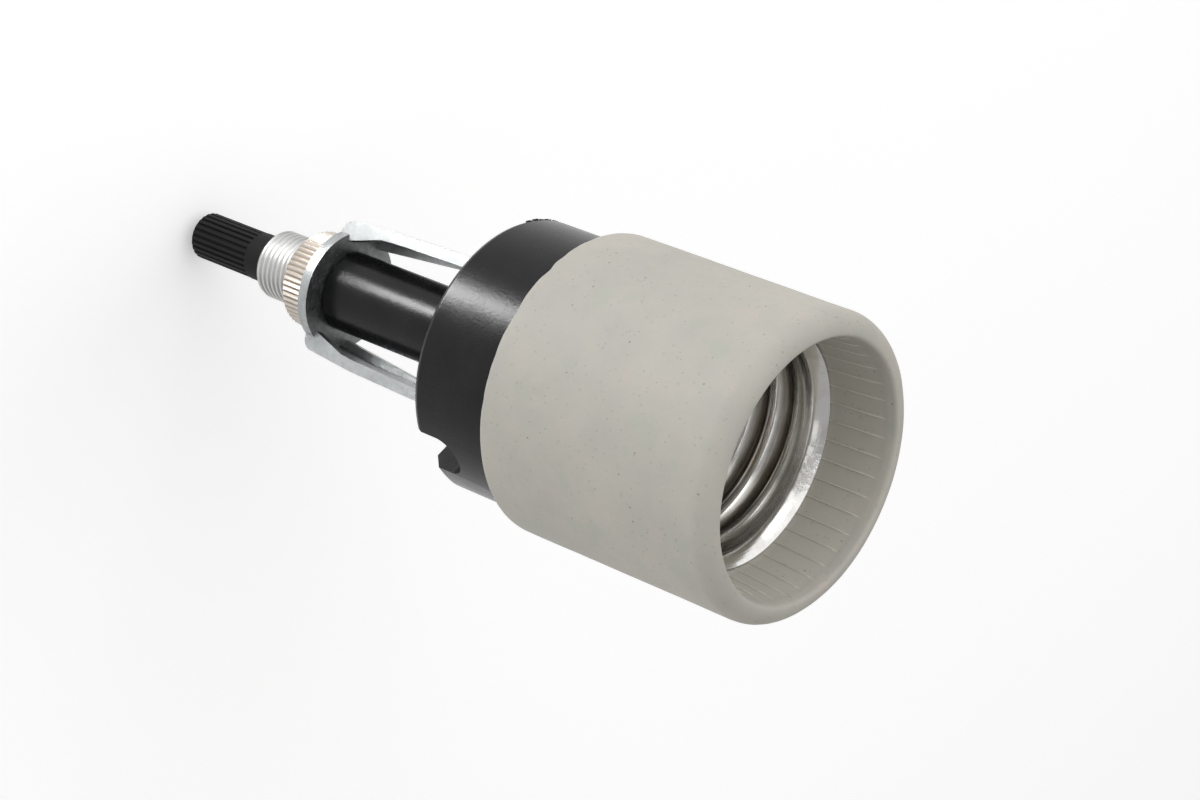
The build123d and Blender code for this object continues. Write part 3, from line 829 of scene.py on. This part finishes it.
@dataclass
class Assembly:
    """What every sub-assembly shares: the frame, the finishes and how a piece is handed over."""

    frame: dict
    finishes: Finishes

    def hand_over(self, piece: bpy.types.Object, body: Body, slot: Slot, node: str) -> None:
        """Set a piece on its body and hide the node that it replaces.

        Args:
            piece: the finished object.
            body: the body that it rides on.
            slot: its material slot; not used.
            node: the node that it replaces.
        """
        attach(piece, body.value)
        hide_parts(node)
        LOG.info("%s on %s: %d faces", piece.name, body.value, len(piece.data.polygons))

    def node_copy(self, node: str, ease: float, least_angle: float) -> bmesh.types.BMesh:
        """A merged copy of a node's mesh with its sharp edges eased.

        Args:
            node: the node's name.
            ease: width of the rounding in millimetres.
            least_angle: turn in degrees from which an edge is eased.

        Returns:
            The mesh.
        """
        bm = bmesh.new()
        bm.from_mesh(self.frame["nodes"][node].data)
        bmesh.ops.remove_doubles(bm, verts=bm.verts[:], dist=1e-6)
        bmesh.ops.dissolve_limit(
            bm, angle_limit=math.radians(0.4), verts=bm.verts[:], edges=bm.edges[:], delimit={"NORMAL"}
        )
        ease_edges(bm, ease, least_angle)
        return bm


# Porcelain body


@dataclass
class PorcelainBody(Assembly):
    """Pressed porcelain sleeve with a rolled rim and a lined mouth recess."""

    outer_r: float = 18.75
    rear_z: float = 45.8
    mouth_z: float = 79.8
    front_round: float = 2.35
    rear_round: float = 0.9
    recess_r: float = 15.6
    recess_low_r: float = 15.05
    lip_z: float = 71.0
    rim_wide: float = 0.75
    rim_deep: float = 2.0
    bore_r: float = 14.0
    floor_z: float = 50.8
    floor_low_z: float = 47.8
    rear_recess_r: float = 16.0
    ridge_high: float = 0.2
    ridge_half: float = 0.3
    rear_band: float = 1.4
    around: int = 720

    def profile(self) -> list[Point]:
        """Outline from the rear recess round the outside and back down the bore.

        Returns:
            The points of the closed outline.
        """
        rim_r = self.recess_r + self.rim_wide
        front, rear = self.front_round, self.rear_round
        inner_top = self.mouth_z - self.rim_deep
        recess = self.rear_recess_r
        points = [(0.0, self.floor_low_z), (recess, self.floor_low_z)]
        points += line((recess, self.floor_low_z), (recess, self.rear_z + 0.2), 2)[1:]
        points += [(recess + 0.2, self.rear_z)]
        points += arc((self.outer_r - rear, self.rear_z + rear), (rear, rear), -90, 90, 6)
        points += line((self.outer_r, self.rear_z + rear), (self.outer_r, self.mouth_z - front), 16)[1:-1]
        points += arc((self.outer_r - front, self.mouth_z - front), (front, front), 0, 90, 10)
        points += arc((rim_r, inner_top), (self.rim_wide, self.rim_deep), 90, 90, 8)[1:]
        low = (self.recess_low_r, self.lip_z - 0.35)
        points += line((self.recess_r, inner_top), low, 8)[1:]
        points += [(self.bore_r, self.lip_z - 1.85), (self.bore_r, self.floor_z), (0.0, self.floor_z)]
        return points

    def raise_ridges(self, bm: bmesh.types.BMesh) -> None:
        """Push thin lines of the recess wall inwards.

        Args:
            bm: the spun sleeve.
        """
        top = self.mouth_z - self.rim_deep
        pitch = 360 / MOUTH_RIDGES
        for vert in bm.verts:
            height = vert.co.z / MM
            radius = math.hypot(vert.co.x, vert.co.y) / MM
            if not (self.lip_z - 0.6 < height < top - 0.1 and radius < self.recess_r + 0.05):
                continue
            angle = math.degrees(math.atan2(vert.co.y, vert.co.x)) % pitch
            if abs(angle - pitch / 2) < self.ridge_half:
                shift = 1 - self.ridge_high / radius
                vert.co.x *= shift
                vert.co.y *= shift

    def roughen(self, bm: bmesh.types.BMesh) -> None:
        """Give the outside the slight unevenness of a pressed part.

        Args:
            bm: the spun sleeve.
        """
        for vert in bm.verts:
            radius = math.hypot(vert.co.x, vert.co.y) / MM
            if radius < self.recess_r + 0.3:
                continue
            wave = noise.noise(vert.co * 140) * 0.05 + noise.noise(vert.co * 420) * 0.02 - 0.06
            vert.co.x *= 1 + wave / radius
            vert.co.y *= 1 + wave / radius
            low = 1 - (vert.co.z / MM - self.rear_z) / self.rear_band
            if low > 0:
                ripple = noise.noise(vert.co * 210) * 0.3 + noise.noise(vert.co * 520) * 0.22
                vert.co.z += max(0.0, ripple) * low * MM

    def build(self) -> None:
        """Make the sleeve and hand it over."""
        bm = spun(self.profile(), self.around)
        self.raise_ridges(bm)
        self.roughen(bm)
        piece = to_object(bm, "PorcelainSleeve", self.finishes[Finish.PORCELAIN])
        self.hand_over(piece, Body.SOCKET, Slot.PORCELAIN, "porcelain_body")


# Screw shell


@dataclass
class ScrewShell(Assembly):
    """Rolled sheet shell: helical thread, plain band, flared lip and flat pan."""

    crest_r: float = 12.35
    depth: float = 0.95
    pitch: float = 25.4 / 7
    wall: float = 0.35
    turns: int = 4
    fade: float = 0.6
    low_z: float = 50.8
    lip_z: float = 71.0
    lip_r: float = 14.6
    lip_flare: float = 1.5
    lip_band: float = 1.0
    band_step: float = 0.4
    pan_hole_r: float = 6.1
    corner: float = 1.3
    flare_path: tuple = (
        (0.02, -0.55), (0.1, -0.15), (0.28, 0.25), (0.56, 0.65), (0.84, 1.0), (1.1, 1.28)
    )
    around: int = 144
    across: int = 16

    @property
    def mean_r(self) -> float:
        """Middle radius of the thread's inner face."""
        return self.crest_r + self.depth / 2

    @property
    def thread_top(self) -> float:
        """Height where the thread ends below the plain band."""
        return self.lip_z - self.lip_flare - self.lip_band

    @property
    def thread_low(self) -> float:
        """Height where the thread begins above the pan."""
        return self.thread_top - self.turns * self.pitch

    def wave(self, share: float) -> float:
        """Radial place of the thread's face, from -1 at a crest to 1 at a root.

        Args:
            share: place along one pitch, from 0 to 1.

        Returns:
            The rounded wave, a little fuller than a sine.
        """
        plain = math.cos(2 * math.pi * share)
        return math.copysign(abs(plain) ** 0.85, plain)

    def thread(self) -> bmesh.types.BMesh:
        """The threaded wall, cut square at both ends.

        Returns:
            An open sheet.
        """
        bm = bmesh.new()
        start = self.thread_low - self.pitch
        verts = []
        for step in range(self.across + 1):
            share = step / self.across
            verts.append(bm.verts.new((1, 0, (start + share * self.pitch) * MM)))
        edges = [bm.edges.new(pair) for pair in zip(verts, verts[1:])]
        rounds = self.turns + 2
        bmesh.ops.spin(
            bm,
            geom=verts + edges,
            cent=(0, 0, 0),
            axis=(0, 0, 1),
            dvec=(0, 0, self.pitch * MM / self.around),
            angle=2 * math.pi * rounds,
            steps=self.around * rounds,
            use_merge=False,
        )
        bmesh.ops.remove_doubles(bm, verts=bm.verts[:], dist=2e-6)
        for height, outwards in ((self.thread_low, -1), (self.thread_top, 1)):
            bmesh.ops.bisect_plane(
                bm,
                geom=bm.verts[:] + bm.edges[:] + bm.faces[:],
                dist=MERGE,
                plane_co=(0, 0, height * MM),
                plane_no=(0, 0, outwards),
                clear_outer=True,
            )
        for vert in bm.verts:
            self.shape_point(vert)
        return bm

    def shape_point(self, vert: bmesh.types.BMVert) -> None:
        """Move one point of the sheet onto the rolled thread.

        Args:
            vert: a point at its height and bearing.
        """
        height = vert.co.z / MM
        angle = math.atan2(vert.co.y, vert.co.x)
        climb = (height - self.thread_low) / self.pitch
        fade = min(1.0, climb / self.fade, (self.turns - climb) / self.fade)
        fade = math.sin(max(0.0, fade) * math.pi / 2) ** 2
        share = (climb - angle / (2 * math.pi)) % 1
        widen = max(0.0, 1 - (self.turns - climb) / self.fade)
        radius = self.mean_r + self.wave(share) * self.depth / 2 * fade + self.band_step * widen**2
        vert.co.x = math.cos(angle) * radius * MM
        vert.co.y = math.sin(angle) * radius * MM

    def draw_rim(self, bm: bmesh.types.BMesh, height: float, path: Sequence[Point]) -> None:
        """Extrude the open edge at a height along a path of (radius, height).

        Args:
            bm: the sheet.
            height: where the open edge is, in millimetres.
            path: the rings to draw it through.
        """
        edges = [
            edge
            for edge in bm.edges
            if len(edge.link_faces) == 1 and all(abs(vert.co.z - height * MM) < 2e-6 for vert in edge.verts)
        ]
        for radius, level in path:
            out = bmesh.ops.extrude_edge_only(bm, edges=edges)
            edges = [part for part in out["geom"] if isinstance(part, bmesh.types.BMEdge)]
            for vert in {vert for edge in edges for vert in edge.verts}:
                flat = Vector((vert.co.x, vert.co.y)).normalized() * radius * MM
                vert.co = (flat.x, flat.y, level * MM)

    def lip_path(self) -> list[Point]:
        """Rings from the plain band out to the lip's edge.

        Returns:
            Their (radius, height).
        """
        flare_z = self.lip_z - self.lip_flare
        band = self.mean_r + self.band_step
        points = [(band + out, flare_z + up) for out, up in self.flare_path]
        return points + [(self.lip_r - 0.08, self.lip_z - 0.05), (self.lip_r, self.lip_z)]

    def pan_path(self) -> list[Point]:
        """Rings from the thread's foot round the corner to the pan's hole.

        Returns:
            Their (radius, height).
        """
        mean, inner = self.mean_r, self.corner - self.wall
        pan_z = self.low_z + self.wall
        points = line((mean, self.thread_low), (mean, pan_z + inner), 4)[1:]
        points += arc((mean - inner, pan_z + inner), (inner, inner), 0, -90, 6)[1:]
        return points + line((mean - inner, pan_z), (self.pan_hole_r, pan_z), 4)[1:]

    def build(self) -> None:
        """Make the shell and hand it over."""
        bm = self.thread()
        self.draw_rim(bm, self.thread_top, self.lip_path())
        self.draw_rim(bm, self.thread_low, self.pan_path())
        bmesh.ops.remove_doubles(bm, verts=bm.verts[:], dist=MERGE)
        bmesh.ops.recalc_face_normals(bm, faces=bm.faces[:])
        self.face_inwards(bm)
        bmesh.ops.solidify(bm, geom=bm.faces[:], thickness=self.wall * MM)
        piece = to_object(bm, "RolledScrewShell", self.finishes[Finish.SHELL], 60)
        self.hand_over(piece, Body.SOCKET, Slot.SHELL, "screw_shell")

    def face_inwards(self, bm: bmesh.types.BMesh) -> None:
        """Turn the open sheet's faces towards the axis, so that its wall grows outwards.

        Args:
            bm: the open sheet.
        """
        bm.faces.ensure_lookup_table()
        middle = (self.thread_low + self.thread_top) / 2 * MM
        wall = min(bm.faces, key=lambda face: abs(face.calc_center_median().z - middle))
        centre = wall.calc_center_median()
        if wall.normal.dot(Vector((centre.x, centre.y, 0))) > 0:
            bmesh.ops.reverse_faces(bm, faces=bm.faces[:])


# Housing, nipple, bracket, nut and fasteners


@dataclass
class HousingMoulding(Assembly):
    """Black housing with a worn corner beside its wire notch and moulding flash on its rear edge."""

    outer_r: float = 17.0
    rear_z: float = 33.8
    ease: float = 0.12
    worn_at: float = -25.0
    worn_half: float = 24.0
    worn_deep: float = 1.5
    worn_band: float = 0.6
    flash_from: float = -178.0
    flash_to: float = -160.0
    flash_steps: int = 40
    flash_in: float = 0.35
    flash_up: float = 0.25
    flash_section: tuple = ((0.34, 0.15), (0.1, -0.36), (-0.34, -0.28), (-0.3, 0.2))

    def wear_corner(self, bm: bmesh.types.BMesh) -> None:
        """Break the rear edge off beside the notch, deepest at the notch's corner.

        Args:
            bm: the housing's mesh.
        """
        bearing = math.radians(self.worn_at)
        inner = self.outer_r * math.cos(math.radians(self.worn_half))
        slope = math.atan2(self.outer_r - inner, self.worn_deep)
        side = Vector((math.cos(bearing), math.sin(bearing), 0))
        outwards = side * math.cos(slope) - Vector((0, 0, math.sin(slope)))
        point = (side * inner + Vector((0, 0, self.rear_z))) * MM
        rim = {vert for vert in bm.verts if vert.co.z / MM > self.rear_z - self.worn_band}
        geometry = list(rim)
        geometry += [edge for edge in bm.edges if rim.issuperset(edge.verts)]
        geometry += [face for face in bm.faces if rim.issuperset(face.verts)]
        out = bmesh.ops.bisect_plane(
            bm, geom=geometry, dist=MERGE, plane_co=point, plane_no=outwards, clear_outer=True
        )
        edges = [part for part in out["geom_cut"] if isinstance(part, bmesh.types.BMEdge)]
        filled = bmesh.ops.holes_fill(bm, edges=edges, sides=0)
        LOG.info("worn corner closed with %d faces", len(filled["faces"]))

    def add_flash(self, bm: bmesh.types.BMesh) -> None:
        """Add the ragged bead that the mould left on the rear edge.

        Args:
            bm: the housing's mesh.
        """
        start = math.radians(self.flash_from)
        radius, height = self.outer_r - self.flash_in, self.rear_z + self.flash_up
        others = set(bm.verts)
        ring = [
            bm.verts.new(((radius + across) * MM, 0, (height + deep) * MM))
            for across, deep in self.flash_section
        ]
        bmesh.ops.rotate(bm, verts=ring, cent=(0, 0, 0), matrix=Matrix.Rotation(start, 3, "Z"))
        face = bm.faces.new(ring)
        bmesh.ops.spin(
            bm,
            geom=[face] + list(face.edges) + ring,
            cent=(0, 0, 0),
            axis=(0, 0, 1),
            angle=math.radians(self.flash_to - self.flash_from),
            steps=self.flash_steps,
        )
        bead = [vert for vert in bm.verts if vert not in others]
        for vert in bead:
            bearing = math.atan2(vert.co.y, vert.co.x)
            ragged = noise.noise(Vector((bearing * 60, vert.co.z * 900, 1.0)))
            middle = Vector((math.cos(bearing) * radius * MM, math.sin(bearing) * radius * MM, height * MM))
            vert.co = middle + (vert.co - middle) * (0.9 + 1.1 * ragged)
        faces = {face for vert in bead for face in vert.link_faces}
        bmesh.ops.recalc_face_normals(bm, faces=list(faces))

    def build(self) -> None:
        """Make the housing and hand it over."""
        bm = self.node_copy("switch_housing", self.ease, 50)
        self.wear_corner(bm)
        self.add_flash(bm)
        piece = to_object(bm, "SwitchHousing", self.finishes[Finish.MOULDING])
        settle_normals(piece)
        self.hand_over(piece, Body.SOCKET, Slot.MOULDING, "switch_housing")


@dataclass
class ThreadedNipple(Assembly):
    """Threaded bushing with its real helical thread, staked in the bracket."""

    outer_r: float = 4.45
    depth: float = 0.24
    pitch: float = 25.4 / 32
    bore_r: float = 3.18
    low_z: float = -6.4
    seat_z: float = 4.8
    relief_r: float = 4.1
    relief_top_z: float = 0.7
    shank_r: float = 3.9
    stake_r: float = 4.3
    stake_z: float = 6.2
    top_z: float = 6.7
    chamfer: float = 0.45
    stake_edge: float = 0.15
    around: int = 144
    rows_per_pitch: int = 12

    def thread_r(self, height: float, angle: float) -> float:
        """Radius of the threaded face.

        Args:
            height: millimetres along the axis.
            angle: bearing in radians.

        Returns:
            The radius in millimetres.
        """
        turn = height / self.pitch - angle / (2 * math.pi)
        wave = 0.5 - 0.5 * math.cos(2 * math.pi * turn)
        radius = self.outer_r - self.depth * wave**1.3
        radius = min(radius, self.outer_r - self.chamfer + (height - self.low_z))
        if 0 < height < self.relief_top_z:
            radius = self.relief_r
        return max(radius, self.relief_r - 0.1)

    def build(self) -> None:
        """Make the nipple and hand it over."""
        rows = round((self.seat_z - self.low_z) / self.pitch * self.rows_per_pitch)
        profile = [(self.bore_r, self.low_z)]
        profile += line((self.outer_r, self.low_z), (self.outer_r, self.seat_z), rows)
        shank, stake, edge = self.shank_r, self.stake_r, self.stake_edge
        profile += [(shank, self.seat_z), (shank, self.stake_z), (stake, self.stake_z)]
        profile += [(stake, self.top_z - edge), (stake - edge, self.top_z), (self.bore_r, self.top_z)]
        bm = spun(profile, self.around)
        for vert in bm.verts:
            if math.hypot(vert.co.x, vert.co.y) / MM < self.outer_r - 0.05:
                continue
            angle = math.atan2(vert.co.y, vert.co.x)
            radius = self.thread_r(vert.co.z / MM, angle) * MM
            vert.co.x, vert.co.y = math.cos(angle) * radius, math.sin(angle) * radius
        piece = to_object(bm, "ThreadedNipple", self.finishes[Finish.NIPPLE])
        self.hand_over(piece, Body.SOCKET, Slot.NICKEL, "threaded_nipple")


@dataclass
class EasedParts(Assembly):
    """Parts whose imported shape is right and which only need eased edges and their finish.

    Each row gives the node, the new piece, its body, slot and finish, the rounding in millimetres
    and the least turn in degrees of an edge that is eased.
    """

    rows: tuple = (
        ("bracket", "YokeBracket", Body.SOCKET, Slot.ZINC, Finish.ZINC, 0.14, 30),
        ("lock_nut", "KnurledLockNut", Body.NUT, Slot.NICKEL, Finish.NUT, 0.04, 20),
        ("knob_shaft", "SplinedShaft", Body.SHAFT, Slot.MOULDING, Finish.SPLINE, 0.07, 35),
        ("bracket_screws", "BracketScrews", Body.SOCKET, Slot.STEEL, Finish.STEEL, 0.2, 60),
        ("assembly_screws", "AssemblyScrews", Body.SOCKET, Slot.STEEL, Finish.STEEL, 0.2, 60),
        ("terminal_screws", "TerminalScrews", Body.SOCKET, Slot.BRASS, Finish.BRASS, 0.2, 60),
        ("center_contact", "CenterContact", Body.SOCKET, Slot.BRASS, Finish.BRASS, 0.06, 30),
        ("center_contact_rivet", "CenterContactRivet", Body.SOCKET, Slot.BRASS, Finish.BRASS, 0.2, 60),
    )

    def build(self) -> None:
        """Make every eased piece and hand it over."""
        for node, name, body, slot, finish, width, least_angle in self.rows:
            bm = self.node_copy(node, width, least_angle)
            piece = to_object(bm, name, self.finishes[finish])
            settle_normals(piece)
            self.hand_over(piece, body, slot, node)


@dataclass
class InnerParts(Assembly):
    """Parts inside the housing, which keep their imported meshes."""

    finishes_of: tuple = (
        ("friction_washer", Finish.BRASS),
        ("shaft_retaining_ring", Finish.STEEL),
        ("switch_rotor", Finish.MOULDING),
        ("contact_wiper", Finish.BRASS),
        ("detent_spring", Finish.STEEL),
        ("line_terminal", Finish.BRASS),
        ("neutral_terminal", Finish.BRASS),
        ("lamp_contact", Finish.BRASS),
        ("insulating_disc", Finish.FIBRE),
        ("contact_insulator", Finish.FIBRE),
    )

    def build(self) -> None:
        """Give each node its finish."""
        for node, finish in self.finishes_of:
            mesh = self.frame["nodes"][node].data
            mesh.materials.clear()
            mesh.materials.append(self.finishes[finish])
            LOG.info("%s keeps its mesh", node)


# Studio


@dataclass(frozen=True)
class SoftBox:
    """A square soft light: metres right, up and near as seen in the photograph, side and watts."""

    name: str
    right: float
    up: float
    near: float
    side: float
    power: float


@dataclass
class Studio:
    """Camera at the photograph's place, a pale floor and soft lights."""

    focal_px: float = 3300.0
    frame_px: tuple = (1200, 800)
    tilt: float = 36.28
    lean: float = 21.61
    turn: float = 3.5
    mouth_at: tuple = (23.77, 8.19, 369.87)
    mouth_z: float = 79.8
    floor_z: float = -0.0215
    aim_z: float = 30.0
    floor_half: float = 3.0
    floor_glow: float = 0.3
    room_light: float = 0.42
    boxes: tuple = (
        SoftBox("KeyBox", 0.12, 0.455, 0.45, 0.6, 0.95),
        SoftBox("FillBox", -0.226, -0.135, 0.594, 0.6, 0.5),
        SoftBox("SideBox", 0.7, 0.25, 0.5, 1.3, 4.2),
    )
    strip_bearing: float = -121.5
    strip_near: float = 42.0
    strip_far: float = 125.0
    strip_width: float = 18.0
    strip_up: float = 1.0
    strip_power: float = 0.16

    def axes(self) -> tuple[Vector, Vector, Vector]:
        """The object's axes as the camera sees them.

        Returns:
            X, Y and Z, each as right, down and away.
        """
        a, b, d = (math.radians(v) for v in (self.tilt, self.lean, self.turn))
        along = Vector((math.cos(a) * math.cos(b), math.cos(a) * math.sin(b), -math.sin(a)))
        away = Vector((math.sin(a) * math.cos(b), math.sin(a) * math.sin(b), math.cos(a)))
        down = Vector((-math.sin(b), math.cos(b), 0))
        x_axis = math.cos(d) * down + math.sin(d) * away
        y_axis = -math.sin(d) * down + math.cos(d) * away
        return x_axis, y_axis, along

    def seen(self) -> Matrix:
        """Rotation from the camera's right, down and away to the object's frame."""
        return Matrix(self.axes())

    def camera(self) -> None:
        """Make the camera."""
        origin = Vector(self.mouth_at) - self.mouth_z * self.axes()[2]
        rotation = self.seen()
        place = rotation @ -origin * MM
        facing = rotation @ Matrix.Diagonal((1, -1, -1))
        data = bpy.data.cameras.new("PhotoCamera")
        data.sensor_fit = "HORIZONTAL"
        data.sensor_width = 36.0
        data.lens = self.focal_px / self.frame_px[0] * data.sensor_width
        data.clip_start = 0.01
        data.clip_end = 20
        camera = bpy.data.objects.new("PhotoCamera", data)
        camera.matrix_world = Matrix.Translation(place) @ facing.to_4x4()
        bpy.context.scene.collection.objects.link(camera)
        bpy.context.scene.camera = camera

    @staticmethod
    def light(name: str, size: Point, power: float) -> bpy.types.Object:
        """Make one area light.

        Args:
            name: its name.
            size: width and height in metres.
            power: watts.

        Returns:
            The light, at the origin and facing down.
        """
        data = bpy.data.lights.new(name, "AREA")
        data.shape = "RECTANGLE"
        data.size, data.size_y = size
        data.energy = power
        lamp = bpy.data.objects.new(name, data)
        bpy.context.scene.collection.objects.link(lamp)
        return lamp

    def soft_box(self, box: SoftBox) -> None:
        """Make one soft box aimed at the object.

        Args:
            box: its place, size and power.
        """
        aim = Vector((0, 0, self.aim_z * MM))
        place = aim + self.seen() @ Vector((box.right, -box.up, -box.near))
        lamp = self.light(box.name, (box.side, box.side), box.power)
        lamp.location = place
        lamp.rotation_euler = (aim - place).to_track_quat("-Z", "Y").to_euler()

    def strip(self) -> None:
        """Make a low strip that faces up from just above the floor and gives black parts their stripe."""
        size = ((self.strip_far - self.strip_near) * MM, self.strip_width * MM)
        lamp = self.light("StripeBox", size, self.strip_power)
        angle = math.radians(self.strip_bearing)
        middle = (self.strip_near + self.strip_far) / 2 * MM
        height = self.floor_z + self.strip_up * MM
        lamp.location = (math.cos(angle) * middle, math.sin(angle) * middle, height)
        lamp.rotation_euler = (math.pi, 0, angle)
        lamp.visible_camera = False
        lamp.visible_diffuse = False

    def floor(self) -> None:
        """Make the pale floor, which glows a little so that it stays white round the object."""
        bm = bmesh.new()
        bmesh.ops.create_grid(bm, x_segments=8, y_segments=8, size=self.floor_half)
        bmesh.ops.translate(bm, verts=bm.verts[:], vec=(0, 0, self.floor_z))
        kit = NodeKit("pale_floor")
        tone = kit.blend(kit.grain(6, 2), (0.93, 0.93, 0.93), (0.95, 0.95, 0.95))
        glow = kit.finish(
            Base_Color=tone,
            Roughness=0.95,
            Emission_Color=(1.0, 1.0, 1.0),
            Emission_Strength=self.floor_glow,
        )
        to_object(bm, "StudioFloor", glow)

    def world(self) -> None:
        """Fill the room with even light."""
        world = bpy.data.worlds.new("StudioRoom")
        world.use_nodes = True
        room = world.node_tree.nodes["Background"]
        room.inputs["Color"].default_value = (1, 1, 1, 1)
        room.inputs["Strength"].default_value = self.room_light
        bpy.context.scene.world = world

    def build(self) -> None:
        """Make the whole studio."""
        bpy.context.scene.view_settings.view_transform = "Standard"
        self.camera()
        self.floor()
        self.world()
        for box in self.boxes:
            self.soft_box(box)
        self.strip()
        LOG.info("studio ready")


def main() -> None:
    """Build every sub-assembly in order."""
    logging.basicConfig(level=logging.INFO, format="%(name)s: %(message)s")
    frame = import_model()
    finishes = Finishes()
    for kind in (PorcelainBody, ScrewShell, HousingMoulding, ThreadedNipple, EasedParts, InnerParts):
        kind(frame, finishes).build()
    Studio().build()


if __name__ == "__main__":
    main()
